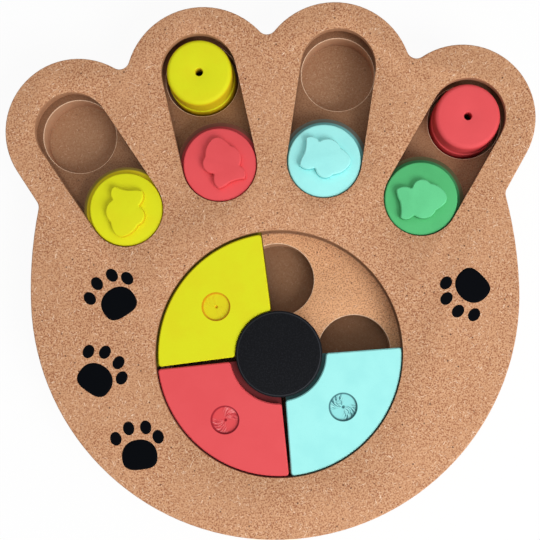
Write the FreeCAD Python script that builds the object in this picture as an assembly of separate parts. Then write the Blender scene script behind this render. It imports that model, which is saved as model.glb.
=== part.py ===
import FreeCAD, Part
import math
import os

from FreeCAD import Vector

# Dog puzzle feeder: a paw-shaped board of four glued sheets with captive sliders,
# turning sectors and lift-off plugs over round treat wells. All sizes in millimetres.
# The board lies on Z = 0 with its toes towards +Y, and X = 0 is its centre line.
# Places in plan are written from the centre of the ring pocket, then moved at the end
# so that the middle of the board's outline is over the origin.

# Sheets of the board, from the bottom
base_thickness = 6.0
well_depth = 9.0
track_depth = 9.0
cover_thickness = 3.0

# Outline of the paw: a round palm, sides that draw in towards the toes, and four toe discs
# that lie a little back and inwards from the outer ends of their slots; an outer toe runs
# down to the side in a straight flank, which leaves its disc this far below the level
palm_radius = 111.0
palm_centre_x = -0.8
palm_centre_y = 26.6
side_radius = 190.0
outer_toe_radius = 33.2
outer_toe_setback = 2.06
outer_toe_inset = 1.84
outer_toe_flank_angle = 30.9
inner_toe_radius = 35.3
inner_toe_setback = 6.29
inner_toe_inset = 0.7
toe_notch_radius = 4.5
side_notch_radius = 4.5
edge_break = 0.5

# Slots: a fan of four about a point below the ring, the middle pair set further out
slot_count = 4
slot_fan_y = -40.0
slot_pitch_angle = 21.2
slot_inner_reach = 127.4
middle_pair_shift = 1.9
slot_travel = 43.3
slot_half_width = 17.15
track_lip = 3.35

# Treat wells
well_radius = 17.0

# Ring pocket with the turning sectors
ring_opening_radius = 56.4
ring_lip = 2.6
ring_well_count = 4
ring_well_reach = 34.6
sector_first_angle = 140.3
sector_step_angle = 88.5
sector_span_angle = 90.0
sector_edge_offset = 1.3
sector_corner_radius = 1.4
dimple_radius = 6.5
dimple_depth = 1.2
dimple_reaches = [35.9, 38.8, 37.8]
dimple_pip_radius = 0.9
dimple_pip_depth = 0.8
dimple_turns = [0.7, -0.3, 1.0]

# Hub
hub_cap_radius = 19.7
hub_cap_thickness = 4.0
hub_cap_chamfer = 0.8
hub_post_radius = 15.3
screw_radius = 2.0
screw_head_radius = 4.0
screw_head_height = 2.4
screw_engagement = 6.0

# Sliders
slider_flange_thickness = 8.0
slider_disc_thickness = 3.0
fish_thickness = 3.0
fish_length = 22.8
fish_corner_radius = 0.8
piece_chamfer = 0.5
fish_headings = [-107.1, 103.5, -10.0, 0.9]
fish_offsets = [(0.3, -0.9), (1.7, 0.1), (0.0, 0.9), (-0.7, -0.8)]
fish_turned_over = [False, False, True, False]

# Plugs: turned cups that stand in a well, upside down over the treat
plug_slots = {"yellow": 1, "red": 3}
plug_height = 20.0
plug_skirt_radius = 15.6
plug_skirt_height = 10.7
plug_body_radius = 15.0
plug_top_bevel = 2.2
plug_bore_radius = 11.5
plug_roof = 6.0
plug_hole_radius = 1.8

# Clearances
sliding_clearance = 0.2
slot_side_clearance = 0.5
track_side_clearance = 0.7
cap_clearance = 0.4
post_clearance = 0.7
screw_clearance = 0.25

# Clearances of the sectors' faces, each fitted by hand, in turning order: at the rim and the hub
face_clearances = [1.3, 0.8, 0.7]
cap_side_clearances = [0.4, 2.9, 1.6]

# Heights above the table that follow from the sheets
well_floor_z = base_thickness
track_floor_z = well_floor_z + well_depth
cover_floor_z = track_floor_z + track_depth
board_top_z = cover_floor_z + cover_thickness

# Colours of the pieces, in slot order from the left and in turning order
slider_colours = ["yellow", "red", "blue", "green"]
sector_colours = ["yellow", "red", "blue"]


def polar(radius, angle):
    """Point in plan at a radius and an angle in degrees from +X."""
    turn = math.radians(angle)
    return Vector(radius * math.cos(turn), radius * math.sin(turn), 0)


def disc(centre, radius, low_z, high_z):
    """Upright cylinder about a point in plan."""
    return Part.makeCylinder(radius, high_z - low_z, Vector(centre.x, centre.y, low_z))


def arc(start, middle, end):
    """Edge of the circle through three points."""
    return Part.Arc(start, middle, end).toShape()


def line(start, end):
    """Straight edge between two points."""
    return Part.LineSegment(start, end).toShape()


def prism(edges, low_z, high_z):
    """Solid made by raising a closed outline from one height to another."""
    face = Part.Face(Part.Wire(Part.__sortEdges__(edges)))
    face.translate(Vector(0, 0, low_z))
    return face.extrude(Vector(0, 0, high_z - low_z))


def revolve(edges):
    """Solid turned about the Z axis from a closed outline in the XZ plane."""
    face = Part.Face(Part.Wire(Part.__sortEdges__(edges)))
    return face.revolve(Vector(0, 0, 0), Vector(0, 0, 1), 360)


def straight_run(points):
    """Edges that join a list of points in order."""
    return [line(a, b) for a, b in zip(points, points[1:])]


def upright_edges(solid):
    """Straight vertical edges of a prism, the corners of its outline."""
    found = []
    for edge in solid.Edges:
        if isinstance(edge.Curve, Part.Line) and abs(edge.tangentAt(edge.FirstParameter).z) > 0.99:
            found.append(edge)
    return found


def rim_edges(solid, height):
    """Outer edges of the flat face at a height."""
    for face in solid.Faces:
        box = face.BoundBox
        if box.ZLength < 1e-6 and abs(box.ZMax - height) < 1e-6:
            return face.OuterWire.Edges
    return []


def stadium(start, end, radius, low_z, high_z):
    """Slot with round ends about two centres in plan."""
    along = (end - start).normalize()
    side = Vector(-along.y, along.x, 0) * radius
    edges = [
        line(start + side, end + side),
        arc(end + side, end + along * radius, end - side),
        line(end - side, start - side),
        arc(start - side, start - along * radius, start + side),
    ]
    return prism(edges, low_z, high_z)


def toe_flank(centre):
    """Corners of the wedge under an outer toe, the disc's centre first and its flank next."""
    side = 1 if centre.x > 0 else -1
    turn = math.radians(outer_toe_flank_angle)
    start = centre + Vector(side * math.cos(turn), -math.sin(turn), 0) * outer_toe_radius
    down = Vector(-side * math.sin(turn), -math.cos(turn), 0)
    return [centre, start, start + down * 1.3 * outer_toe_radius]


def paw_face():
    """Outline of the board as a flat face at Z = 0."""
    height = 1.0
    toes = [toe_centre(index) for index in range(slot_count)]
    palm_centre = Vector(palm_centre_x, palm_centre_y, 0)
    shoulder_y = toes[0].y
    lower = Part.makeBox(
        2 * palm_radius,
        palm_radius + shoulder_y - palm_centre_y,
        height,
        palm_centre - Vector(palm_radius, palm_radius, 0),
    )
    palm = disc(palm_centre, palm_radius, 0, height).common(lower)
    side_reach = side_radius - palm_radius
    left = disc(Vector(palm_centre_x + side_reach, palm_centre_y, 0), side_radius, 0, height)
    right = disc(Vector(palm_centre_x - side_reach, palm_centre_y, 0), side_radius, 0, height)
    band = Part.makeBox(
        2 * palm_radius,
        shoulder_y - palm_centre_y,
        height,
        Vector(palm_centre_x - palm_radius, palm_centre_y, 0),
    )
    between_toes = prism(straight_run(toes + [palm_centre, toes[0]]), 0, height)
    body = palm.fuse(left.common(right).common(band)).fuse(between_toes)
    for index, centre in enumerate(toes):
        radius = inner_toe_radius if is_middle(index) else outer_toe_radius
        body = body.fuse(disc(centre, radius, 0, height))
    flanks = [toe_flank(toes[0]), toe_flank(toes[-1])]
    for corners in flanks:
        body = body.fuse(prism(straight_run(corners + [corners[0]]), 0, height))
    body = body.removeSplitter()
    toe_notches = []
    side_notches = []
    for edge in upright_edges(body):
        place = edge.CenterOfMass
        if place.y > shoulder_y:
            toe_notches.append(edge)
        elif place.y > palm_centre_y + 1:
            near = min(math.hypot(place.x - run[1].x, place.y - run[1].y) for run in flanks)
            if near > 1:
                side_notches.append(edge)
    body = body.makeFillet(toe_notch_radius, toe_notches)
    side_places = [edge.CenterOfMass for edge in side_notches]
    side_notches = []
    for edge in upright_edges(body):
        if min((edge.CenterOfMass - place).Length for place in side_places) < 0.01:
            side_notches.append(edge)
    body = body.makeFillet(side_notch_radius, side_notches)
    floor = min(body.Faces, key=lambda face: face.CenterOfMass.z)
    return Part.Face(floor.OuterWire)


def is_middle(index):
    """Whether a slot is one of the middle pair."""
    return 0 < index < slot_count - 1


def slot_direction(index):
    """Unit vector of a slot, outwards through its toe."""
    offset = (slot_count - 1) / 2 - index
    return polar(1.0, 90 + offset * slot_pitch_angle)


def slot_ends(index):
    """Centres of a slot's inner and outer end."""
    reach = slot_inner_reach + (middle_pair_shift if is_middle(index) else 0.0)
    fan = Vector(0, slot_fan_y, 0)
    along = slot_direction(index)
    return fan + along * reach, fan + along * (reach + slot_travel)


def toe_centre(index):
    """Centre of a toe disc, from the outer end of its slot."""
    setback = inner_toe_setback if is_middle(index) else outer_toe_setback
    inset = inner_toe_inset if is_middle(index) else outer_toe_inset
    along = slot_direction(index)
    inwards = Vector(-along.y, along.x, 0) * (1 if along.x > 0 else -1)
    return slot_ends(index)[1] - along * setback + inwards * inset


def well_centres():
    """Centres of every treat well: both ends of each slot, and the ring."""
    centres = []
    for index in range(slot_count):
        centres.extend(slot_ends(index))
    for index in range(ring_well_count):
        centres.append(polar(ring_well_reach, index * 360 / ring_well_count))
    return centres


def base_sheet(outline):
    """Plain bottom sheet with the countersunk hole of the hub's screw."""
    sheet = outline.extrude(Vector(0, 0, base_thickness))
    sheet = sheet.makeChamfer(edge_break, rim_edges(sheet, 0.0))
    hole = disc(Vector(), screw_radius + screw_clearance, 0, base_thickness)
    sink = Part.makeCone(
        screw_head_radius + screw_clearance,
        screw_radius + screw_clearance,
        screw_head_height + screw_clearance,
    )
    return sheet.cut(hole.fuse(sink))


def well_sheet(outline):
    """Sheet with the round through holes that are the treat wells."""
    sheet = outline.extrude(Vector(0, 0, well_depth))
    sheet.translate(Vector(0, 0, well_floor_z))
    for centre in well_centres():
        sheet = sheet.cut(disc(centre, well_radius, well_floor_z, track_floor_z))
    return sheet.cut(disc(Vector(), screw_radius + screw_clearance, well_floor_z, track_floor_z))


def track_sheet(outline):
    """Sheet with the wide grooves and the round pocket that the flanges run in."""
    sheet = outline.extrude(Vector(0, 0, track_depth))
    sheet.translate(Vector(0, 0, track_floor_z))
    for index in range(slot_count):
        start, end = slot_ends(index)
        width = slot_half_width + track_lip
        sheet = sheet.cut(stadium(start, end, width, track_floor_z, cover_floor_z))
    return sheet.cut(disc(Vector(), ring_opening_radius + ring_lip, track_floor_z, cover_floor_z))


def cover_sheet(outline):
    """Top sheet, whose narrower slots and opening keep the flanges in."""
    sheet = outline.extrude(Vector(0, 0, cover_thickness))
    sheet.translate(Vector(0, 0, cover_floor_z))
    sheet = sheet.makeChamfer(edge_break, rim_edges(sheet, board_top_z))
    for index in range(slot_count):
        start, end = slot_ends(index)
        sheet = sheet.cut(stadium(start, end, slot_half_width, cover_floor_z, board_top_z))
    return sheet.cut(disc(Vector(), ring_opening_radius, cover_floor_z, board_top_z))


def flange_top_z():
    """Top of the sliders' and sectors' flanges, on which their upper plates are glued."""
    return track_floor_z + sliding_clearance + slider_flange_thickness


def slider_flange(centre):
    """Round flange that runs in the wide groove under the lip."""
    radius = slot_half_width + track_lip - track_side_clearance
    return disc(centre, radius, track_floor_z + sliding_clearance, flange_top_z())


def slider_disc(centre):
    """Painted disc that shows in the slot."""
    top = flange_top_z() + slider_disc_thickness
    solid = disc(centre, slot_half_width - slot_side_clearance, flange_top_z(), top)
    return solid.makeChamfer(piece_chamfer, rim_edges(solid, top))


def fish_point(along, across):
    """Point of the fish's outline in lengths of the fish, with its nose towards +X."""
    return Vector(along * fish_length, across * fish_length, 0)


def fish_figure(index):
    """Flat fish, the handle of a slider: arcs through a start, a middle and an end point."""
    back_notch = fish_point(-0.148, 0.211)
    shoulder = fish_point(0.215, 0.309)
    brow = fish_point(0.495, 0.117)
    chin = fish_point(0.497, -0.094)
    throat = fish_point(0.300, -0.229)
    belly_notch = fish_point(-0.143, -0.296)
    lower_lobe = fish_point(-0.417, -0.332)
    fork = fish_point(-0.413, -0.009)
    upper_lobe = fish_point(-0.466, 0.220)
    edges = [
        arc(back_notch, fish_point(0.027, 0.397), shoulder),
        arc(shoulder, fish_point(0.380, 0.238), brow),
        arc(brow, fish_point(0.530, 0.009), chin),
        arc(chin, fish_point(0.413, -0.166), throat),
        arc(throat, fish_point(0.067, -0.381), belly_notch),
        arc(belly_notch, fish_point(-0.296, -0.381), lower_lobe),
        arc(lower_lobe, fish_point(-0.395, -0.161), fork),
        arc(fork, fish_point(-0.453, 0.099), upper_lobe),
        arc(upper_lobe, fish_point(-0.323, 0.274), back_notch),
    ]
    solid = prism(edges, 0, fish_thickness)
    solid = solid.makeFillet(fish_corner_radius, upright_edges(solid))
    solid = solid.makeChamfer(piece_chamfer, rim_edges(solid, fish_thickness))
    if fish_turned_over[index]:
        solid = solid.mirror(Vector(0, 0, 0), Vector(0, 1, 0))
    solid.rotate(Vector(0, 0, 0), Vector(0, 0, 1), fish_headings[index])
    place = slot_ends(index)[0] + Vector(*fish_offsets[index], 0)
    solid.translate(Vector(place.x, place.y, flange_top_z() + slider_disc_thickness))
    return solid


def sector_plate(inner_radius, outer_radius, low_z, high_z, corner_radius):
    """Ring sector about +X whose straight edges lie inside the radial lines by a set offset."""
    half = math.radians(sector_span_angle / 2)
    inner_half = half - math.asin(sector_edge_offset / inner_radius)
    outer_half = half - math.asin(sector_edge_offset / outer_radius)
    inner_left = polar(inner_radius, math.degrees(inner_half))
    inner_right = polar(inner_radius, -math.degrees(inner_half))
    outer_left = polar(outer_radius, math.degrees(outer_half))
    outer_right = polar(outer_radius, -math.degrees(outer_half))
    edges = [
        arc(outer_right, Vector(outer_radius, 0, 0), outer_left),
        line(outer_left, inner_left),
        arc(inner_left, Vector(inner_radius, 0, 0), inner_right),
        line(inner_right, outer_right),
    ]
    solid = prism(edges, low_z, high_z)
    return solid.makeFillet(corner_radius, upright_edges(solid))


def sector_angle(index):
    """Direction of a sector's middle from the hub."""
    return sector_first_angle + index * sector_step_angle


def sector_flange(index):
    """Lower plate of a sector: its rebate runs under the lip outside and the hub cap inside."""
    inner = hub_post_radius + post_clearance
    outer = ring_opening_radius + ring_lip - track_side_clearance
    low_z = track_floor_z + sliding_clearance
    solid = sector_plate(inner, outer, low_z, flange_top_z(), sector_corner_radius)
    solid.rotate(Vector(0, 0, 0), Vector(0, 0, 1), sector_angle(index))
    return solid


def sector_face(index):
    """Painted upper plate of a sector with its drilled finger dimple."""
    inner = hub_cap_radius + cap_side_clearances[index]
    outer = ring_opening_radius - face_clearances[index]
    low_z = flange_top_z()
    high_z = low_z + slider_disc_thickness
    solid = sector_plate(inner, outer, low_z, high_z, sector_corner_radius)
    solid = solid.makeChamfer(piece_chamfer, rim_edges(solid, high_z))
    centre = polar(dimple_reaches[index], dimple_turns[index])
    solid = solid.cut(disc(centre, dimple_radius, high_z - dimple_depth, high_z))
    pip_tip = high_z - dimple_depth - dimple_pip_depth
    pip = Part.makeCone(0, dimple_pip_radius, dimple_pip_depth, Vector(centre.x, centre.y, pip_tip))
    solid = solid.cut(pip)
    solid.rotate(Vector(0, 0, 0), Vector(0, 0, 1), sector_angle(index))
    return solid


def cap_floor_z():
    """Underside of the hub cap, a little above the flanges that it holds down."""
    return flange_top_z() + cap_clearance


def hub_post():
    """Round post in the ring pocket with the pilot hole of its screw."""
    post = disc(Vector(), hub_post_radius, track_floor_z, cap_floor_z())
    return post.cut(disc(Vector(), screw_radius, track_floor_z, track_floor_z + screw_engagement))


def hub_cap():
    """Black cap glued on the post."""
    top = cap_floor_z() + hub_cap_thickness
    cap = disc(Vector(), hub_cap_radius, cap_floor_z(), top)
    return cap.makeChamfer(hub_cap_chamfer, rim_edges(cap, top))


def hub_screw():
    """Countersunk wood screw up through the sheets into the post."""
    shank = disc(Vector(), screw_radius, 0, track_floor_z + screw_engagement)
    head = Part.makeCone(screw_head_radius, screw_radius, screw_head_height)
    return shank.fuse(head).removeSplitter()


def plug(centre):
    """Turned cup, open below, with a wider skirt, a shoulder in two bevels and a scent hole."""
    bore_top = plug_height - plug_roof
    shoulder_x = plug_body_radius - plug_top_bevel
    shoulder_z = plug_height - plug_top_bevel
    bulge = plug_top_bevel * math.sqrt(0.5)
    profile = straight_run([
        Vector(shoulder_x, 0, plug_height),
        Vector(plug_hole_radius, 0, plug_height),
        Vector(plug_hole_radius, 0, bore_top),
        Vector(plug_bore_radius, 0, bore_top),
        Vector(plug_bore_radius, 0, 0),
        Vector(plug_skirt_radius, 0, 0),
        Vector(plug_skirt_radius, 0, plug_skirt_height),
        Vector(plug_body_radius, 0, plug_skirt_height),
        Vector(plug_body_radius, 0, shoulder_z),
        Vector(shoulder_x + bulge, 0, shoulder_z + bulge),
        Vector(shoulder_x, 0, plug_height),
    ])
    solid = revolve(profile)
    solid.translate(Vector(centre.x, centre.y, well_floor_z))
    return solid


def build():
    """Every piece by name, in the board's own place."""
    outline = paw_face()
    pieces = {
        "base_sheet": base_sheet(outline),
        "well_sheet": well_sheet(outline),
        "track_sheet": track_sheet(outline),
        "cover_sheet": cover_sheet(outline),
        "hub_post": hub_post(),
        "hub_cap": hub_cap(),
        "hub_screw": hub_screw(),
    }
    for index, colour in enumerate(slider_colours):
        centre = slot_ends(index)[0]
        pieces[f"slider_{colour}_flange"] = slider_flange(centre)
        pieces[f"slider_{colour}_disc"] = slider_disc(centre)
        pieces[f"slider_{colour}_fish"] = fish_figure(index)
    for index, colour in enumerate(sector_colours):
        pieces[f"sector_{colour}_flange"] = sector_flange(index)
        pieces[f"sector_{colour}_face"] = sector_face(index)
    for colour, index in plug_slots.items():
        pieces[f"plug_{colour}"] = plug(slot_ends(index)[1])
    box = outline.BoundBox
    to_origin = Vector(0, -(box.YMin + box.YMax) / 2, 0)
    for solid in pieces.values():
        solid.translate(to_origin)
    return pieces


os.makedirs("parts", exist_ok=True)
for name, solid in build().items():
    solid.exportStep(f"parts/{name}.step")
    print(name, "valid" if solid.isValid() else "INVALID", len(solid.Solids), round(solid.Volume, 1))
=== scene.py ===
import logging
import math
from dataclasses import dataclass, field
from enum import Enum
from functools import reduce
from typing import Any, Sequence

import bmesh
import bpy
import numpy as np
from mathutils import Euler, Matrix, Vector


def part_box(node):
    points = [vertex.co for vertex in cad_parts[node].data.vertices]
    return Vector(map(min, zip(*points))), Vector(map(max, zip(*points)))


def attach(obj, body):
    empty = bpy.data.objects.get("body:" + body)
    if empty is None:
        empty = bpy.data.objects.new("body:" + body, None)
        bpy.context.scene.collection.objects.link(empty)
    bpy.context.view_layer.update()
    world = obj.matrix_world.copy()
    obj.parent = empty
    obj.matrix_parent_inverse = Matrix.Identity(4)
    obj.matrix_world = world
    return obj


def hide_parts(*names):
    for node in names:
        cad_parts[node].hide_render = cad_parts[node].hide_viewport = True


LOG = logging.getLogger("feeder")
MM = 0.001
# Millimetres over which a finish fades at a pocket's outline, to either side of it.
BLUR = 0.4
# An edge is eased where the normals of its two faces differ by more than this many degrees.
SHARP = 40
# Neighbouring faces of a CAD mesh whose normals differ by less than this many degrees are joined.
LEVEL = 0.5
# Points closer than this many metres become one, in a mesh made here and in one from the CAD.
WELD = 1e-7
CAD_WELD = 1e-6

# A colour as a screen shows it, with red, green and blue of 0 to 255.
Tone = tuple[int, int, int]

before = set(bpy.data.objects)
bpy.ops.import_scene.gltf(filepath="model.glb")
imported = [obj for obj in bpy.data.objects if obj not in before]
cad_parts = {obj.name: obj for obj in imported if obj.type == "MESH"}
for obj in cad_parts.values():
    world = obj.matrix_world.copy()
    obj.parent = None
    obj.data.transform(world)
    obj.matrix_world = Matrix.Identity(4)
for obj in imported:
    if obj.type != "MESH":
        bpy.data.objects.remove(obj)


def linear(code: Tone) -> tuple[float, float, float, float]:
    """Turns an sRGB colour of 0 to 255 into linear light.

    Args:
        code: red, green and blue as a screen shows them.

    Returns:
        Red, green, blue and an alpha of 1 for a colour socket.
    """
    share = np.array(code, float) / 255
    light = np.where(share <= 0.04045, share / 12.92, ((share + 0.055) / 1.055) ** 2.4)
    return (*[float(v) for v in light], 1.0)


class Sock:
    """The output of a node, on which arithmetic can be written."""

    def __init__(self, nodes: "Nodes", value: Any) -> None:
        """Keeps the node tree and the socket."""
        self.nodes = nodes
        self.value = value

    def _math(self, kind: str, *others: Any) -> "Sock":
        """Adds a Math node of one kind on this value and others."""
        return self.nodes.node("ShaderNodeMath", {"operation": kind}, [self, *others])

    def __add__(self, other: Any) -> "Sock":
        """Sum."""
        return self._math("ADD", other)

    def __radd__(self, other: Any) -> "Sock":
        """Sum with the number first."""
        return self._math("ADD", other)

    def __sub__(self, other: Any) -> "Sock":
        """Difference."""
        return self._math("SUBTRACT", other)

    def __rsub__(self, other: Any) -> "Sock":
        """Difference with the number first."""
        return self.nodes.node("ShaderNodeMath", {"operation": "SUBTRACT"}, [other, self])

    def __mul__(self, other: Any) -> "Sock":
        """Product."""
        return self._math("MULTIPLY", other)

    def __rmul__(self, other: Any) -> "Sock":
        """Product with the number first."""
        return self._math("MULTIPLY", other)

    def __truediv__(self, other: Any) -> "Sock":
        """Quotient."""
        return self._math("DIVIDE", other)

    def __rtruediv__(self, other: Any) -> "Sock":
        """Quotient with the number first."""
        return self.nodes.node("ShaderNodeMath", {"operation": "DIVIDE"}, [other, self])

    def above(self, level: Any) -> "Sock":
        """1 where this is more than the level, else 0."""
        return self._math("GREATER_THAN", level)

    def most(self, other: Any) -> "Sock":
        """The larger of the two."""
        return self._math("MAXIMUM", other)

    def size(self) -> "Sock":
        """Absolute value."""
        return self._math("ABSOLUTE")

    def ramp(self, low: float, high: float) -> "Sock":
        """Rises smoothly from 0 at low to 1 at high, or falls when high is the smaller.

        Args:
            low: value at which the result is 0.
            high: value at which the result is 1.

        Returns:
            The eased share.
        """
        if low > high:
            return 1 - self.ramp(high, low)
        settings = {"interpolation_type": "SMOOTHSTEP", "data_type": "FLOAT"}
        values = {"Value": self, "From Min": low, "From Max": high}
        return self.nodes.node("ShaderNodeMapRange", settings, values)


class Nodes:
    """A node tree under construction; every node comes from one method."""

    def __init__(self, tree: bpy.types.NodeTree) -> None:
        """Empties the tree."""
        self.tree = tree
        tree.nodes.clear()

    def node(self, kind: str, settings: dict[str, Any], inputs: Any, out: Any = 0) -> Sock:
        """Adds one node.

        Args:
            kind: Blender's type name of the node.
            settings: properties that are set first.
            inputs: values or links of its sockets, by name or in order.
            out: name or number of the output wanted.

        Returns:
            The output, ready for arithmetic.
        """
        made = self.tree.nodes.new(kind)
        for key, value in settings.items():
            setattr(made, key, value)
        pairs = inputs.items() if isinstance(inputs, dict) else enumerate(inputs)
        for key, value in pairs:
            socket = made.inputs[key]
            if isinstance(value, Sock):
                self.tree.links.new(value.value, socket)
            else:
                socket.default_value = value
        return Sock(self, made.outputs[out] if made.outputs else None)

    def seen(self) -> Sock:
        """1 for rays from the camera and for rays that shine off a piece or pass through it, else 0."""
        kinds = ("Is Camera Ray", "Is Glossy Ray", "Is Transmission Ray")
        return reduce(Sock.most, [self.node("ShaderNodeLightPath", {}, {}, kind) for kind in kinds])


class Shade(Nodes):
    """A procedural material under construction."""

    def __init__(self, name: str) -> None:
        """Starts an empty material.

        Args:
            name: the material's name.
        """
        self.material = bpy.data.materials.new(name)
        self.material.use_nodes = True
        super().__init__(self.material.node_tree)
        self.fed: dict[str, Any] = {}
        self.place = self.node("ShaderNodeTexCoord", {}, {}, "Object")

    def feed(self, socket: str, value: Any) -> None:
        """Keeps what one socket of the main shader will be linked or set to."""
        self.fed[socket] = value

    def close(self, over: Sock | None = None, share: Any = 0.0) -> bpy.types.Material:
        """Adds the Principled shader with all that was fed to it, and the output.

        Args:
            over: a second shader laid over it, if any.
            share: share of the second shader.

        Returns:
            The finished material.
        """
        surface = self.node("ShaderNodeBsdfPrincipled", {}, self.fed)
        if over:
            surface = self.node("ShaderNodeMixShader", {}, [share, surface, over])
        self.node("ShaderNodeOutputMaterial", {}, {"Surface": surface})
        return self.material

    def mix(self, share: Any, first: Any, second: Any) -> Sock:
        """Mixes two colours.

        Args:
            share: 0 gives the first colour and 1 the second.
            first: colour or link.
            second: colour or link.

        Returns:
            The mixed colour.
        """
        settings = {"data_type": "RGBA", "clamp_factor": True}
        return self.node("ShaderNodeMix", settings, {0: share, 6: first, 7: second}, 2)

    def vector(self, kind: str, inputs: Any, out: Any = 0) -> Sock:
        """Adds a Vector Math node of one kind."""
        return self.node("ShaderNodeVectorMath", {"operation": kind}, inputs, out)

    def mapped(
        self, scale: tuple[float, float, float], turn: float = 0.0, shift: Vector = Vector()
    ) -> Sock:
        """Object coordinates in millimetres, moved, turned about Z in degrees and scaled.

        Args:
            scale: pattern units per millimetre along each axis after the turn.
            turn: angle of the pattern.
            shift: point in metres that becomes the pattern's origin.

        Returns:
            The coordinate for a texture.
        """
        moved = self.vector("SUBTRACT", [self.place, shift])
        inverse = tuple(MM / s for s in scale)
        values = {"Vector": moved, "Rotation": (0, 0, math.radians(turn)), "Scale": inverse}
        return self.node("ShaderNodeMapping", {"vector_type": "TEXTURE"}, values)

    def even(self, scale: float, shift: Vector = Vector()) -> Sock:
        """Object coordinates with one scale, in pattern units per millimetre, along every axis."""
        return self.mapped((scale, scale, scale), 0.0, shift)

    def noise(self, where: Sock, detail: float = 2.0, rough: float = 0.5) -> Sock:
        """Smooth noise of 0 to 1 at a coordinate."""
        values = {"Vector": where, "Scale": 1.0, "Detail": detail, "Roughness": rough}
        return self.node("ShaderNodeTexNoise", {}, values, "Fac")

    def axis(self, where: Sock, name: str) -> Sock:
        """One part, X, Y or Z, of a vector."""
        return self.node("ShaderNodeSeparateXYZ", {}, [where], name)

    def reach(self, pocket: "Pocket") -> Sock:
        """Distance in millimetres, seen from above, from a pocket's middle line.

        Args:
            pocket: the slot or round pocket.

        Returns:
            |p - a - clamp((p - a) . d, 0, length) d| for the point p.
        """
        flat = self.vector("MULTIPLY", [self.place, (1, 1, 0)])
        away = self.vector("SUBTRACT", [flat, pocket.start])
        run = self.vector("DOT_PRODUCT", [away, pocket.along], "Value")
        held = self.node("ShaderNodeClamp", {}, {"Value": run, "Min": 0.0, "Max": pocket.length})
        nearest = self.vector("SCALE", {0: pocket.along, "Scale": held})
        return self.vector("DISTANCE", [away, nearest], "Value") / MM

    def wall(self) -> Sock:
        """1 on upright faces and 0 on level ones."""
        normal = self.node("ShaderNodeNewGeometry", {}, {}, "Normal")
        return self.axis(normal, "Z").size().ramp(0.75, 0.35)

    def bump(self, height: Sock, depth_mm: float) -> None:
        """Feeds the shader's normal from a height of 0 to 1.

        Args:
            height: the relief.
            depth_mm: height in millimetres of a value of 1.
        """
        values = {"Strength": 1.0, "Distance": depth_mm * MM, "Height": height}
        self.feed("Normal", self.node("ShaderNodeBump", {}, values))


@dataclass(frozen=True)
class Pocket:
    """A cut pocket seen from above, in metres: a line's start, direction and length, and a radius.

    The shade is the strength of the painted shade laid on the board inside it, 0 to 1.
    """

    start: Vector
    along: Vector
    length: float
    radius: float
    shade: float

    @classmethod
    def round(cls, centre: Vector, radius: float, shade: float = 0.0) -> "Pocket":
        """A round pocket, whose middle line has no length."""
        return cls(centre, Vector((1, 0, 0)), 0.0, radius, shade)


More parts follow.
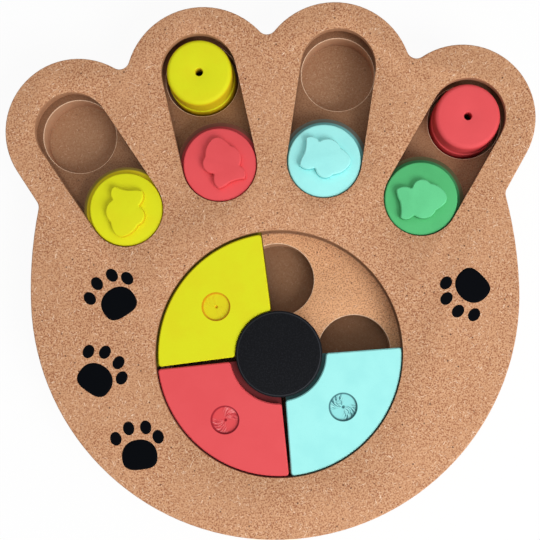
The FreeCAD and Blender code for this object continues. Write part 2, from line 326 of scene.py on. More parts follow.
@dataclass(frozen=True)
class Fibreboard:
    """Raw sanded fibreboard: mottled tan with pale fibres and dark specks, browner where cut.

    Painted shade darkens it in and around its pockets. The band outside a pocket and the height up to which
    no painted shade is laid are in millimetres.
    """

    name: str
    face: Tone = (207, 155, 115)
    pale: Tone = (246, 212, 182)
    dark: Tone = (146, 84, 52)
    speck: Tone = (72, 42, 28)
    cut: Tone = (184, 138, 104)
    strength: float = 1.0
    pockets: tuple[Pocket, ...] = ()
    # Colour of the painted shade in and around the pockets.
    pocket_shade_tone: Tone = (118, 82, 58)
    band: float = 5.0
    bottom: float = 2.0
    thread_turns: tuple[int, ...] = (17, 61, 104, 151)
    thread_level: float = 0.715

    def fibres(self, shade: Shade, turn: float) -> Sock:
        """Short pale threads that lie along one direction.

        Args:
            shade: material being made.
            turn: direction in degrees.

        Returns:
            Strength of the threads, 0 to 1.
        """
        along = shade.mapped((0.34, 2.3, 1.2), turn, Vector((turn * MM, 0, 0)))
        return shade.noise(along, 1.0).ramp(self.thread_level, self.thread_level + 0.05)

    def specks(self, shade: Shade, grain: Sock) -> Sock:
        """Dark specks at the middles of scattered cells, in some regions only.

        Args:
            shade: material being made.
            grain: fine noise that makes their outlines uneven.

        Returns:
            Strength of the specks, 0 to 1.
        """
        values = {"Vector": shade.even(0.24, Vector((0.03, 0.01, 0))), "Scale": 1.0, "Randomness": 1.0}
        spot = shade.node("ShaderNodeTexVoronoi", {}, values, "Distance")
        region = shade.noise(shade.even(0.12, Vector((0.4, 0.1, 0))), 1.0).above(0.46)
        return (spot + grain * 0.12).ramp(0.185, 0.12) * region

    def painted_pocket_shade(self, shade: Shade, colour: Sock) -> Sock:
        """Paints shade on the board inside each pocket, where it lies deep, and in a band just outside its
        outline, under the cover's lip.

        Only what lies more than `bottom` millimetres above the underside gets painted shade.

        Args:
            shade: material being made.
            colour: the board's colour so far.

        Returns:
            The colour with painted shade in and around its pockets.
        """
        upper = shade.axis(shade.place, "Z").above(self.bottom * MM)
        for pocket in self.pockets:
            reach = shade.reach(pocket)
            edge = pocket.radius / MM
            inside = reach.ramp(edge + BLUR, edge - BLUR)
            end = edge + self.band
            outside = reach.ramp(edge - BLUR, edge + BLUR) * reach.ramp(end, end - 0.5)
            # Share of painted shade: the pocket's own strength inside it, 0.85 in the band under the lip.
            painted_light = (inside * pocket.shade + outside * 0.85) * upper
            colour = shade.mix(painted_light, colour, linear(self.pocket_shade_tone))
        return colour

    def build(self) -> bpy.types.Material:
        """Lays out the material's nodes.

        Returns:
            The finished material.
        """
        shade = Shade(self.name)
        face, pale, dark = linear(self.face), linear(self.pale), linear(self.dark)
        clouds = shade.noise(shade.even(0.05), 3.0)
        grain = shade.noise(shade.even(1.4), 1.5, 0.6)
        blotch = shade.noise(shade.even(0.5))
        colour = shade.mix(grain.ramp(0.48, 0.62) * (0.80 * self.strength), face, dark)
        colour = shade.mix(grain.ramp(0.42, 0.30) * (0.34 * self.strength), colour, pale)
        colour = shade.mix(blotch.ramp(0.48, 0.72) * (0.22 * self.strength), colour, dark)
        colour = shade.mix(clouds.ramp(0.40, 0.62) * 0.25, colour, face)
        threads = reduce(Sock.most, [self.fibres(shade, turn) for turn in self.thread_turns])
        colour = shade.mix(threads * (0.95 * self.strength), colour, pale)
        specks = self.specks(shade, grain)
        colour = shade.mix(specks * (0.85 * self.strength), colour, linear(self.speck))
        # Painted shade in and around the pockets.
        colour = self.painted_pocket_shade(shade, colour)
        layers = shade.noise(shade.mapped((0.25, 0.25, 3.2)))
        cut = shade.mix(layers * 0.5, linear(self.cut), dark)
        colour = shade.mix(shade.wall() * 0.85, colour, cut)
        shade.feed("Base Color", colour)
        shade.feed("Roughness", grain * 0.15 + 0.68)
        shade.feed("Specular IOR Level", 0.3)
        shade.bump(grain * 0.6 + threads * 0.4 - specks * 0.6, 0.09)
        return shade.close()


@dataclass(frozen=True)
class Dimple:
    """Where a finger dimple was drilled: its centre and radius in metres, and its scars.

    The scars lie along one line through the centre, at an angle in degrees, and have a
    strength for the pale and for the dark ones. The pip at the centre and the rim are dark
    lines of one strength, with the pip's radius and the rim's width in millimetres.
    """

    centre: Vector
    radius: float
    lean: float
    pale: float
    dark: float
    pip: float = 0.95
    rim: float = 1.0
    line: float = 0.8


@dataclass(frozen=True)
class Paint:
    """Matt paint on fibreboard: even colour, faint mottle, thinner and deeper on the cut walls."""

    name: str
    face: Tone
    side: Tone
    scratch: Tone
    groove: Tone
    rough: float = 0.55
    gloss: float = 0.12
    fleck: float = 0.0
    dimple: Dimple | None = None
    limit: Pocket | None = None
    # Dark brown of the flange past its coat: bare board with painted shade under the cover's lip.
    bare_board_in_painted_shade: Tone = (84, 60, 42)

    def drilled(self, shade: Shade, colour: Sock) -> tuple[Sock, Sock]:
        """Bright and dark swirls that the drill left in the dimple, spokes about its centre.

        Args:
            shade: material being made.
            colour: paint colour so far.

        Returns:
            The colour with the swirls, and their relief.
        """
        dimple = self.dimple
        scratch, groove = linear(self.scratch), linear(self.groove)
        where = shade.even(1.0, dimple.centre)
        east, north = shade.axis(where, "X"), shade.axis(where, "Y")
        flat = shade.node("ShaderNodeCombineXYZ", {}, {"X": east, "Y": north})
        reach = shade.vector("LENGTH", [flat], "Value")
        angle = shade.node("ShaderNodeMath", {"operation": "ARCTAN2"}, [north, east])
        edge = dimple.radius / MM
        inside = reach.ramp(edge, edge - 0.5)
        spiral = {"X": (angle + reach * 0.12) * 6.5, "Y": reach * 0.30, "Z": 0.0}
        spokes = shade.noise(shade.node("ShaderNodeCombineXYZ", {}, spiral), 3.0, 0.7)
        twice = (angle - math.radians(dimple.lean)) * 2
        facing = shade.node("ShaderNodeMath", {"operation": "COSINE"}, [twice])
        lobes = facing.ramp(-0.7, 0.5) * reach.ramp(0.4, 1.6) * inside
        pale = spokes.ramp(0.52, 0.62) * lobes
        dark = spokes.ramp(0.51, 0.43) * lobes
        pip = reach.ramp(dimple.pip, 0.4)
        rim = reach.ramp(edge - dimple.rim, edge - 0.45) * reach.ramp(edge + 0.25, edge - 0.05)
        colour = shade.mix(inside * 0.3, colour, linear(self.side))
        colour = shade.mix(pale * dimple.pale, colour, scratch)
        colour = shade.mix(dark * dimple.dark, colour, groove)
        colour = shade.mix(pip * dimple.line, colour, groove)
        colour = shade.mix(rim * dimple.line, colour, groove)
        return colour, spokes * lobes

    def build(self) -> bpy.types.Material:
        """Lays out the material's nodes.

        Returns:
            The finished material.
        """
        shade = Shade(self.name)
        side = linear(self.side)
        broad = shade.noise(shade.even(0.09))
        fine = shade.noise(shade.even(1.6), 2.0, 0.6)
        colour = shade.mix(broad.ramp(0.35, 0.75) * 0.16, linear(self.face), side)
        colour = shade.mix(fine.ramp(0.52, 0.80) * 0.12, colour, side)
        colour = shade.mix(fine.ramp(0.52, 0.36) * self.fleck, colour, linear(self.scratch))
        streaks = shade.noise(shade.mapped((0.4, 0.4, 2.2)))
        colour = shade.mix(shade.wall() * (streaks * 0.4 + 0.55), colour, side)
        relief = fine
        if self.dimple:
            colour, spokes = self.drilled(shade, colour)
            relief = fine + spokes * 3.0
        # Past the coat's outline the flange shows bare board, darkened as painted shade.
        if self.limit:
            edge = self.limit.radius / MM
            outside = shade.reach(self.limit).ramp(edge - BLUR, edge + BLUR)
            colour = shade.mix(outside * 0.85, colour, linear(self.bare_board_in_painted_shade))
        shade.feed("Base Color", colour)
        shade.feed("Roughness", fine * 0.12 + self.rough)
        shade.feed("Specular IOR Level", self.gloss)
        shade.bump(relief, 0.035)
        return shade.close()


@dataclass(frozen=True)
class Metal:
    """Zinc-plated steel with fine turned rings."""

    name: str
    tone: Tone = (196, 194, 186)
    dust: Tone = (128, 124, 112)
    axis: Vector = field(default_factory=Vector)

    def build(self) -> bpy.types.Material:
        """Lays out the material's nodes.

        Returns:
            The finished material.
        """
        shade = Shade(self.name)
        settings = {"wave_type": "RINGS", "rings_direction": "Z"}
        values = {"Vector": shade.even(1.0, self.axis), "Scale": 2.2, "Distortion": 0.6, "Detail": 1.0}
        rings = shade.node("ShaderNodeTexWave", settings, values, "Fac")
        dull = shade.noise(shade.even(0.9))
        shade.feed("Base Color", shade.mix(dull * 0.4, linear(self.tone), linear(self.dust)))
        shade.feed("Metallic", 1.0)
        shade.feed("Roughness", rings * 0.12 + 0.30)
        shade.bump(rings, 0.01)
        return shade.close()


class Hue(Enum):
    """The paints on the object: face, cut side, pale scratch and dark groove of each."""

    YELLOW = ((223, 225, 28), (224, 184, 24), (250, 236, 90), (214, 150, 20))
    RED = ((230, 86, 90), (216, 68, 72), (252, 170, 170), (150, 30, 46))
    BLUE = ((167, 244, 240), (118, 206, 210), (225, 255, 252), (48, 96, 106))
    GREEN = ((88, 190, 120), (60, 150, 90), (150, 230, 170), (30, 90, 54))
    LEAF = ((106, 211, 146), (60, 150, 92), (160, 236, 180), (40, 110, 66))
    BLACK = ((20, 21, 24), (12, 12, 15), (70, 72, 78), (6, 6, 8))
    INK = ((6, 8, 12), (4, 5, 7), (8, 8, 10), (2, 2, 3))

    def paint(
        self, name: str, dimple: Dimple | None = None, gloss: float = 0.12, fleck: float = 0.0
    ) -> bpy.types.Material:
        """Makes this paint's material under a name.

        Args:
            name: the material's name.
            dimple: a drilled dimple that scars the paint, if any.
            gloss: specular level.
            fleck: strength of pale flecks.

        Returns:
            The material.
        """
        return Paint(name, *self.value, gloss=gloss, fleck=fleck, dimple=dimple).build()

    def shaded_undercoat(self, name: str, depth: float, limit: Pocket | None = None) -> bpy.types.Material:
        """Makes the coat of the flanges: the mean of face and side, darkened as painted shade for the
        flanges' deep, shaded places.

        Args:
            name: the material's name.
            depth: share of the colour taken away as painted shade.
            limit: outline that the coat ends at, if it does.

        Returns:
            The material.
        """
        face, side, scratch, groove = self.value
        # The darkening by depth is painted shade.
        tone = tuple(round((a + b) / 2 * (1 - depth)) for a, b in zip(face, side))
        return Paint(name, tone, tone, scratch, groove, limit=limit).build()


HUES = {"yellow": Hue.YELLOW, "red": Hue.RED, "blue": Hue.BLUE, "green": Hue.GREEN}


def grid_faces(rows: int, columns: int) -> np.ndarray:
    """Quads of a grid of points, numbered row by row, where a row's last point joins its first.

    Args:
        rows: number of rows of points.
        columns: points in a row.

    Returns:
        Four point numbers for each quad.
    """
    row, column = np.meshgrid(np.arange(rows - 1), np.arange(columns), indexing="ij")
    right = (column + 1) % columns
    corners = [row * columns + column, row * columns + right]
    corners += [(row + 1) * columns + right, (row + 1) * columns + column]
    return np.stack(corners, -1).reshape(-1, 4)


def new_piece(
    name: str, points: np.ndarray, faces: np.ndarray, material: bpy.types.Material
) -> bpy.types.Object:
    """Makes a piece from points in metres and faces, welded and with its faces outwards.

    Args:
        name: the piece's name.
        points: one row for each point.
        faces: point numbers of each face.
        material: its finish.

    Returns:
        The new object at the origin.
    """
    mesh = bpy.data.meshes.new(name)
    mesh.from_pydata(points.tolist(), [], faces.tolist())
    shape = bmesh.new()
    shape.from_mesh(mesh)
    bmesh.ops.remove_doubles(shape, verts=shape.verts, dist=WELD)
    bmesh.ops.recalc_face_normals(shape, faces=shape.faces)
    shape.to_mesh(mesh)
    shape.free()
    mesh.shade_smooth()
    piece = bpy.data.objects.new(name, mesh)
    bpy.context.scene.collection.objects.link(piece)
    mesh.materials.append(material)
    return piece


def lathe(
    name: str, profile: np.ndarray, centre: Vector, material: bpy.types.Material, steps: int
) -> bpy.types.Object:
    """Turns a closed profile about an upright axis: x = r cos a, y = r sin a, z as given.

    Args:
        name: the piece's name.
        profile: radius and height of each point, from the axis side round to it again.
        centre: place of the axis.
        material: its finish.
        steps: divisions of the turn.

    Returns:
        The new object.
    """
    turn = np.linspace(0, 2 * math.pi, steps, endpoint=False)
    radius, height = profile[:, :1], profile[:, 1:]
    points = np.stack([
        centre.x + radius * np.cos(turn),
        centre.y + radius * np.sin(turn),
        height + 0 * turn,
    ], -1).reshape(-1, 3)
    return new_piece(name, points, grid_faces(len(profile), steps), material)


def round_corner(
    centre: Sequence[float], radius: float, start: float, end: float, count: int
) -> np.ndarray:
    """Points of an arc in a profile: centre plus radius times cosine and sine of the angle.

    Args:
        centre: radius and height of the arc's centre.
        radius: size of the arc.
        start: first angle in degrees.
        end: last angle in degrees.
        count: number of points.

    Returns:
        Radius and height of each point.
    """
    angle = np.radians(np.linspace(start, end, count))
    return np.array(centre) + radius * np.stack([np.cos(angle), np.sin(angle)], -1)


def softened(
    node: str,
    width_mm: float,
    material: bpy.types.Material,
    segments: int = 2,
    edge: bpy.types.Material | None = None,
) -> bpy.types.Object:
    """Copies a CAD node with its sharp edges eased, and stands it in for the node.

    Args:
        node: name of the CAD node.
        width_mm: width of the eased edge.
        material: its finish.
        segments: steps across the eased edge.
        edge: finish of the eased edge, where it has its own.

    Returns:
        The new object, which its caller lets ride with a body.
    """
    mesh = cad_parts[node].data.copy()
    mesh.name = f"{node}_eased"
    shape = bmesh.new()
    shape.from_mesh(mesh)
    bmesh.ops.remove_doubles(shape, verts=shape.verts, dist=CAD_WELD)
    bmesh.ops.dissolve_limit(shape, angle_limit=math.radians(LEVEL), verts=shape.verts, edges=shape.edges)
    shape.to_mesh(mesh)
    shape.free()
    mesh.materials.clear()
    mesh.materials.append(material)
    mesh.shade_smooth()
    piece = bpy.data.objects.new(f"{node}_eased", mesh)
    bpy.context.scene.collection.objects.link(piece)
    ease = piece.modifiers.new("ease", "BEVEL")
    ease.width = width_mm * MM
    ease.segments = segments
    ease.limit_method = "ANGLE"
    ease.angle_limit = math.radians(SHARP)
    ease.harden_normals = True
    if edge:
        mesh.materials.append(edge)
        ease.material = 1
    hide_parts(node)
    return piece


def middle(node: str) -> Vector:
    """Centre of a CAD node's box at rest."""
    low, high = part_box(node)
    return (Vector(low) + Vector(high)) / 2


def dress(node: str, material: bpy.types.Material) -> bpy.types.Object:
    """Gives a CAD node a finish in place of its packed colour.

    Args:
        node: name of the CAD node.
        material: its finish.

    Returns:
        The node's object.
    """
    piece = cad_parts[node]
    piece.data.materials.clear()
    piece.data.materials.append(material)
    return piece


@dataclass(frozen=True)
class Mark:
    """One printed paw: place of its pad from the ring's centre in mm, and its turn in degrees."""

    name: str
    east: float
    north: float
    turn: float


@dataclass
class Board:
    """The glued board with its hub and its printed paws.

    Sizes are in millimetres. The slots' fan point, travel and radius and the ring's radius
    repeat the CAD's. Each toe of a paw has its place from the pad and its lean in degrees.
    """

    body: str = "board"
    ink_thickness: float = 0.05
    pad_width: float = 16.1
    pad_length: float = 13.7
    toe_width: float = 5.1
    toe_length: float = 6.3
    pad_front: float = 0.54
    pad_powers: tuple[float, float] = (2.15, 3.0)
    blot_rings: int = 5
    blot_steps: int = 48
    cover_ease: float = 0.35
    well_ease: float = 0.3
    hub_ease: float = 0.3
    screw_steps: int = 96
    head_rings: int = 22
    point: float = 0.001
    shank_radius: float = 2.0
    tip: float = 1.2
    head_height: float = 2.4
    arm_half_width: float = 0.55
    arm_reach: float = 2.3
    arm_depth: float = 1.3
    fan_y: float = -40.0
    travel: float = 43.3
    slot_radius: float = 17.15
    # Strengths of the painted shade on the slots' floors and in the ring's wells.
    slot_painted_shade: float = 0.74
    ring_radius: float = 56.4
    ring_painted_shade: float = 0.6
    marks: list[Mark] = field(default_factory=lambda: [
        Mark("paw_upper", -71.8, 25.6, 29.8),
        Mark("paw_middle", -83.8, -8.7, -37.1),
        Mark("paw_lower", -64.9, -43.8, 4.1),
        Mark("paw_right", 88.9, 27.9, 132.9),
    ])
    toes: list[tuple[float, float, float]] = field(default_factory=lambda: [
        (-9.9, 8.9, 8.0), (-3.6, 12.9, 3.0), (4.15, 12.55, 2.0), (9.3, 7.7, 8.0),
    ])

    def ring(self, shade: float) -> Pocket:
        """The round pocket about the hub, with the strength of the painted shade inside it."""
        hub = middle("hub_cap")
        return Pocket.round(Vector((hub.x, hub.y, 0)), self.ring_radius * MM, shade)

    def pockets(self) -> tuple[Pocket, ...]:
        """The four slots, from their sliders and the point their lines fan out from, and the ring.

        Returns:
            The pockets, as cut through the cover.
        """
        hub = middle("hub_cap")
        fan = Vector((hub.x, hub.y + self.fan_y * MM, 0))
        found = [self.ring(0.0)]
        for colour in HUES:
            start = middle(f"slider_{colour}_disc")
            start.z = 0
            along = (start - fan).normalized()
            found.append(Pocket(start, along, self.travel * MM, self.slot_radius * MM, self.slot_painted_shade))
        return tuple(found)

    def pad_reach(self, angle: np.ndarray) -> np.ndarray:
        """Radius of the pad's outline: a superellipse, flatter at the heel.

        Args:
            angle: direction from the pad's centre, 90 degrees towards the toes.

        Returns:
            Radius in millimetres.
        """
        east, north = np.abs(np.cos(angle)), np.sin(angle)
        power = np.where(north > 0, *self.pad_powers)
        length = self.pad_length * np.where(north > 0, self.pad_front, 1 - self.pad_front)
        width = self.pad_width / 2
        return ((east / width) ** power + (np.abs(north) / length) ** power) ** (-1 / power)

    def blot(self, reach: np.ndarray, angle: np.ndarray) -> np.ndarray:
        """Disc of ink on a polar grid: radius shares from 0 to 1, its rim drawn down to the board.

        Args:
            reach: outline radius at each angle.
            angle: the angles.

        Returns:
            Points east, north and up in millimetres, one row a ring and the rim's foot last.
        """
        share = np.sqrt(np.linspace(0, 1, self.blot_rings))[:, None]
        east = share * reach * np.cos(angle)
        north = share * reach * np.sin(angle)
        up = np.full_like(east, self.ink_thickness)
        top = np.stack([east, north, up], -1)
        foot = top[-1:].copy()
        foot[..., 2] = 0.0
        return np.concatenate([top, foot])

    def print_mark(self, mark: Mark, hub: Vector, top: float, ink: bpy.types.Material) -> bpy.types.Object:
        """Lays one paw of ink on the cover: a pad and four toes.

        Args:
            mark: which paw.
            hub: centre of the ring.
            top: height of the board's top face.
            ink: its finish.

        Returns:
            The new piece.
        """
        angle = np.linspace(0, 2 * math.pi, self.blot_steps, endpoint=False)
        blots = [self.blot(self.pad_reach(angle), angle)]
        for east, north, lean in self.toes:
            along = angle - math.radians(lean)
            wide, long = self.toe_width / 2, self.toe_length / 2
            reach = 1 / np.sqrt((np.cos(along) / wide) ** 2 + (np.sin(along) / long) ** 2)
            blots.append(self.blot(reach, angle) + np.array([east, north, 0.0]))
        rows = self.blot_rings + 1
        faces = grid_faces(rows, len(angle))
        count = rows * len(angle)
        all_faces = np.concatenate([faces + count * k for k in range(len(blots))])
        flat = np.concatenate([blot.reshape(-1, 3) for blot in blots])
        cosine, sine = math.cos(math.radians(mark.turn)), math.sin(math.radians(mark.turn))
        points = np.stack([
            hub.x / MM + mark.east + flat[:, 0] * cosine - flat[:, 1] * sine,
            hub.y / MM + mark.north + flat[:, 0] * sine + flat[:, 1] * cosine,
            top / MM + flat[:, 2],
        ], -1) * MM
        piece = new_piece(mark.name, points, all_faces, ink)
        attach(piece, self.body)
        return piece

    def screw(self, hub: Vector, metal: bpy.types.Material) -> bpy.types.Object:
        """Screw with a cross recess in its head, on a polar grid.

        The head's face is at the board's underside. Points of it are drawn up into the head by
        depth * clamp((half width - arm) / 0.15) * clamp((reach - r) / 1.2), where arm and r are
        the smaller and the larger distance from the cross's two middle lines.

        Args:
            hub: centre of the ring.
            metal: its finish.

        Returns:
            The new piece.
        """
        low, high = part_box("hub_screw")
        head = (high[0] - low[0]) / 2 / MM
        length = (high[2] - low[2]) / MM
        shank, rings = self.shank_radius, self.head_rings
        angle = np.linspace(0, 2 * math.pi, self.screw_steps, endpoint=False)
        face = np.linspace(self.point, head, rings)
        radius = np.concatenate([face, [shank, shank, 0.4 * shank, self.point]])
        stem = [self.head_height, length - 2 * self.tip, length, length]
        height = np.concatenate([np.zeros(rings), stem])
        east = radius[:, None] * np.cos(angle)
        north = radius[:, None] * np.sin(angle)
        up = height[:, None] + 0 * angle
        arm = np.minimum(np.abs(east), np.abs(north))
        reach = np.maximum(np.abs(east), np.abs(north))
        across = np.clip((self.arm_half_width - arm) / 0.15, 0, 1)
        depth = across * np.clip((self.arm_reach - reach) / 1.2, 0, 1) * self.arm_depth
        up[:rings] += depth[:rings]
        points = np.stack([hub.x + east * MM, hub.y + north * MM, low[2] + up * MM], -1).reshape(-1, 3)
        piece = new_piece("hub_screw_cross", points, grid_faces(len(radius), len(angle)), metal)
        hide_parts("hub_screw")
        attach(piece, self.body)
        return piece

    def sheets(self) -> list[bpy.types.Object]:
        """Gives the four sheets their board finishes.

        Returns:
            The sheets, from the bottom.
        """
        base = Fibreboard(
            "fibreboard_base",
            face=(172, 131, 98),
            strength=0.4,
            # Painted shade on the floors of the ring's wells.
            pockets=(self.ring(self.ring_painted_shade),),
            pocket_shade_tone=(96, 62, 36),
        )
        floor = Fibreboard(
            "fibreboard_well",
            face=(226, 170, 124),
            cut=(204, 160, 126),
            strength=0.9,
            pockets=self.pockets(),
        )
        track = Fibreboard("fibreboard_track")
        top = Fibreboard("fibreboard_cover")
        # Pale eased edges of the wells and the cover: a sanded edge's paler colour with a painted
        # highlight.
        sanded_rim_highlight = Fibreboard("fibreboard_rim_highlight", face=(240, 206, 174), cut=(230, 194, 162), strength=0.3)
        sanded = Fibreboard("fibreboard_edge_highlight", face=(236, 198, 166), cut=(226, 184, 152), strength=0.3)
        wells = softened("well_sheet", self.well_ease, floor.build(), edge=sanded_rim_highlight.build())
        cover = softened("cover_sheet", self.cover_ease, top.build(), edge=sanded.build())
        for sheet in (wells, cover):
            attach(sheet, self.body)
        return [dress("base_sheet", base.build()), wells, dress("track_sheet", track.build()), cover]

    def build(self) -> list[bpy.types.Object]:
        """Dresses the sheets and the hub and prints the paws.

        Returns:
            The pieces made or dressed.
        """
        pieces = self.sheets()
        hub = middle("hub_cap")
        # The cap's eased edge is painted a lighter grey: a painted highlight.
        painted_light = Paint("paint_hub_edge_highlight", (40, 42, 47), (18, 19, 22), (80, 82, 88), (10, 10, 12)).build()
        black = Hue.BLACK.paint("paint_hub_cap", gloss=0.04, fleck=0.10)
        cap = softened("hub_cap", self.hub_ease, black, edge=painted_light)
        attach(cap, self.body)
        pieces += [dress("hub_post", Fibreboard("fibreboard_post").build()), cap]
        pieces.append(self.screw(hub, Metal("screw_steel", axis=hub).build()))
        ink = Hue.INK.paint("printed_ink", gloss=0.02)
        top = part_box("cover_sheet")[1][2]
        return pieces + [self.print_mark(mark, hub, top, ink) for mark in self.marks]


@dataclass
class Slider:
    """One captive slider: hidden flange, painted disc and fish handle, in millimetres.

    The flange's coat loses a share of its colour as painted shade and ends a margin past the disc.
    """

    colour: str
    # Share of the flange coat's colour taken away as painted shade.
    flange_painted_shade: float = 0.25
    fish_edge: float = 0.55
    disc_edge: float = 0.25
    coat_margin: float = 1.5

    def build(self) -> list[bpy.types.Object]:
        """Dresses the slider.

        Returns:
            Its pieces, from the bottom.
        """
        body = f"slider_{self.colour}"
        hue = HUES[self.colour]
        low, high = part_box(f"{body}_disc")
        centre = middle(f"{body}_disc")
        centre.z = 0
        radius = (high[0] - low[0]) / 2 + self.coat_margin * MM
        outline = Pocket.round(centre, radius)
        coat = hue.shaded_undercoat(f"paint_{self.colour}_flange", self.flange_painted_shade, outline)
        flange = dress(f"{body}_flange", coat)
        plate = softened(f"{body}_disc", self.disc_edge, hue.paint(f"paint_{self.colour}_disc"))
        figure_hue = Hue.LEAF if hue is Hue.GREEN else hue
        glaze = figure_hue.paint(f"paint_{self.colour}_fish")
        fish = softened(f"{body}_fish", self.fish_edge, glaze, segments=3)
        for piece in (plate, fish):
            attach(piece, body)
        return [flange, plate, fish]


@dataclass
class Sector:
    """One turning sector: hidden flange and painted face with a drilled dimple.

    The dimple's place is its distance from the hub in millimetres and its angle in degrees.
    """

    colour: str
    dimple_from_hub: tuple[float, float]
    lean: float
    pale: float
    dark: float
    # Share of the flange coat's colour taken away as painted shade.
    flange_painted_shade: float = 0.52
    dimple_radius: float = 6.5

    def build(self) -> list[bpy.types.Object]:
        """Dresses the sector.

        Returns:
            Its pieces, from the bottom.
        """
        body = f"sector_{self.colour}"
        hue = HUES[self.colour]
        reach, angle = self.dimple_from_hub
        hub = middle("hub_cap")
        turn = math.radians(angle)
        centre = Vector((hub.x + reach * MM * math.cos(turn), hub.y + reach * MM * math.sin(turn), 0))
        coat = hue.shaded_undercoat(f"paint_sector_{self.colour}_flange", self.flange_painted_shade)
        flange = dress(f"{body}_flange", coat)
        dimple = Dimple(centre, self.dimple_radius * MM, self.lean, self.pale, self.dark)
        return [flange, dress(f"{body}_face", hue.paint(f"paint_sector_{self.colour}_face", dimple))]


@dataclass
class Plug:
    """One lift-off plug, turned as a cup that stands upside down over its well, in millimetres."""

    colour: str
    body_radius: float = 15.0
    skirt_height: float = 10.7
    bore_radius: float = 11.5
    roof: float = 6.0
    hole_radius: float = 1.8
    shoulder: float = 2.2
    bead: float = 0.5
    ease: float = 0.4
    fillet: float = 0.15
    fillet_rise: float = 0.4
    steps: int = 112

    def build(self) -> list[bpy.types.Object]:
        """Makes the plug's turned surface with its round shoulder, bead and eased edges.

        Returns:
            The one piece.
        """
        node = f"plug_{self.colour}"
        low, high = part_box(node)
        skirt = (high[0] - low[0]) / 2 / MM
        height = (high[2] - low[2]) / MM
        body, bore, hole, ease = self.body_radius, self.bore_radius, self.hole_radius, self.ease
        roof = height - self.roof
        profile = np.concatenate([
            round_corner((hole + ease, height - ease), ease, 180, 90, 4),
            round_corner((body - self.shoulder, height - self.shoulder), self.shoulder, 90, 0, 9),
            round_corner(
                (body + self.fillet, self.skirt_height + self.fillet_rise), self.fillet, 180, 270, 3),
            round_corner((skirt - self.bead, self.skirt_height - self.bead), self.bead, 90, 0, 5),
            round_corner((skirt - ease, ease), ease, 0, -90, 4),
            round_corner((bore + ease, ease), ease, -90, -180, 4),
            [(bore, roof), (hole, roof), (hole, height - ease)],
        ]) * MM + np.array([0.0, low[2]])
        paint = HUES[self.colour].paint(f"paint_{node}")
        piece = lathe(f"{node}_turned", profile, middle(node), paint, self.steps)
        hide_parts(node)
        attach(piece, node)
        return [piece]


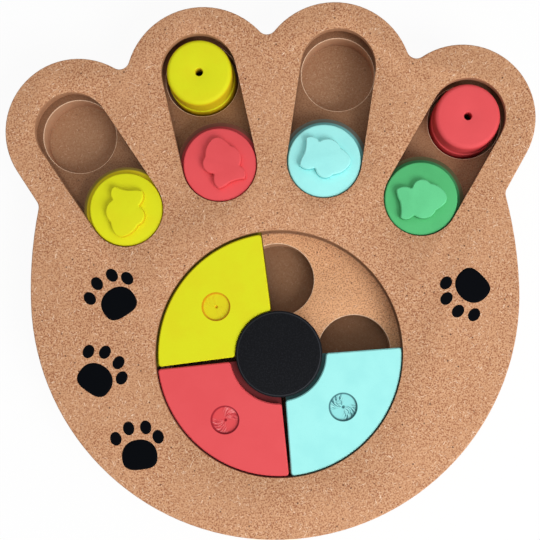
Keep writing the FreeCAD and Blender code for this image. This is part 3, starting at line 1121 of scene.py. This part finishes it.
@dataclass
class Studio:
    """Floor, soft lights and the camera straight above.

    The camera's height is in millimetres above the board's top, and its focal length, the
    picture's side and the places in the picture are in pixels. The roll is in degrees.
    """

    camera_height: float = 363.0
    focal_px: float = 800.0
    picture_px: float = 540.0
    axis_px: tuple[float, float] = (320.0, 345.0)
    hub_px: tuple[float, float] = (279.0, 354.1)
    roll: float = 2.12
    sky: float = 0.38
    glow: float = 0.93
    floor_tone: float = 0.93
    floor_half: float = 3.0
    floor_height: float = -0.0005

    def floor(self) -> None:
        """Pale level floor that shows white and keeps a soft shadow."""
        signs = ((-1, -1), (1, -1), (1, 1), (-1, 1))
        points = np.array([(x * self.floor_half, y * self.floor_half, self.floor_height) for x, y in signs])
        shade = Shade("studio_floor")
        shade.feed("Base Color", (self.floor_tone, self.floor_tone, self.floor_tone, 1))
        shade.feed("Roughness", 0.9)
        glow = shade.node("ShaderNodeEmission", {}, {})
        white = shade.close(glow, shade.seen() * self.glow)
        floor = new_piece("floor", points, np.array([(0, 1, 2, 3)]), white)

    def world(self) -> None:
        """White surroundings to look at, dimmer for the light they give."""
        sky = bpy.data.worlds.new("studio")
        sky.use_nodes = True
        nodes = Nodes(sky.node_tree)
        strength = nodes.seen() * (1 - self.sky) + self.sky
        back = nodes.node("ShaderNodeBackground", {}, {"Color": (1, 1, 1, 1), "Strength": strength})
        nodes.node("ShaderNodeOutputWorld", {}, {"Surface": back})
        bpy.context.scene.world = sky

    def lamp(self, name: str, place: tuple[float, float, float], size: float, power: float) -> None:
        """Square soft light aimed at the board.

        Args:
            name: its name.
            place: where it stands, in metres.
            size: its side, in metres.
            power: its power in watts.
        """
        data = bpy.data.lights.new(name, "AREA")
        data.size = size
        data.energy = power
        lamp = bpy.data.objects.new(name, data)
        lamp.location = place
        lamp.rotation_euler = (-Vector(place)).to_track_quat("-Z", "Y").to_euler()
        bpy.context.scene.collection.objects.link(lamp)

    def camera(self) -> None:
        """Camera above the point that the photograph looks straight down on."""
        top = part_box("cover_sheet")[1][2]
        scale = self.camera_height / self.focal_px
        turn = math.radians(self.roll)
        right = self.axis_px[0] - self.hub_px[0]
        up = self.hub_px[1] - self.axis_px[1]
        hub = middle("hub_cap")
        east = (right * math.cos(turn) + up * math.sin(turn)) * scale * MM
        north = (-right * math.sin(turn) + up * math.cos(turn)) * scale * MM
        data = bpy.data.cameras.new("above")
        data.sensor_width = 36.0
        data.lens = self.focal_px / self.picture_px * data.sensor_width
        data.shift_x = (self.picture_px / 2 - self.axis_px[0]) / self.picture_px
        data.shift_y = (self.axis_px[1] - self.picture_px / 2) / self.picture_px
        data.clip_start = 0.01
        eye = bpy.data.objects.new("above", data)
        eye.location = (hub.x + east, hub.y + north, top + self.camera_height * MM)
        eye.rotation_euler = Euler((0, 0, -turn))
        bpy.context.scene.collection.objects.link(eye)
        bpy.context.scene.camera = eye

    def build(self) -> None:
        """Sets the stage."""
        bpy.context.scene.view_settings.view_transform = "Standard"
        self.world()
        self.floor()
        self.lamp("key", (0.74, -0.76, 0.92), 0.8, 15.7)
        self.lamp("fill", (0.1, 0.2, 1.5), 1.0, 3.5)
        self.camera()


def main() -> None:
    """Builds every sub-assembly in order and reports it."""
    logging.basicConfig(level=logging.INFO, format="%(message)s")
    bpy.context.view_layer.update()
    parts: list[tuple[str, Board | Slider | Sector | Plug]] = [("board", Board())]
    parts += [
        ("slider yellow", Slider("yellow", flange_painted_shade=0.05, coat_margin=2.0)),
        ("slider red", Slider("red")),
        ("slider blue", Slider("blue")),
        ("slider green", Slider("green")),
        ("sector yellow", Sector("yellow", (35.9, 141.0), lean=-45.0, pale=0.12, dark=0.22)),
        ("sector red", Sector("red", (38.8, 228.5), lean=48.0, pale=0.55, dark=0.6)),
        ("sector blue", Sector("blue", (37.8, 318.3), lean=-40.0, pale=0.3, dark=0.9)),
        ("plug yellow", Plug("yellow")),
        ("plug red", Plug("red")),
    ]
    for name, part in parts:
        for piece in part.build():
            LOG.info("%s: %s", name, piece.name)
    Studio().build()


if __name__ == "__main__":
    main()
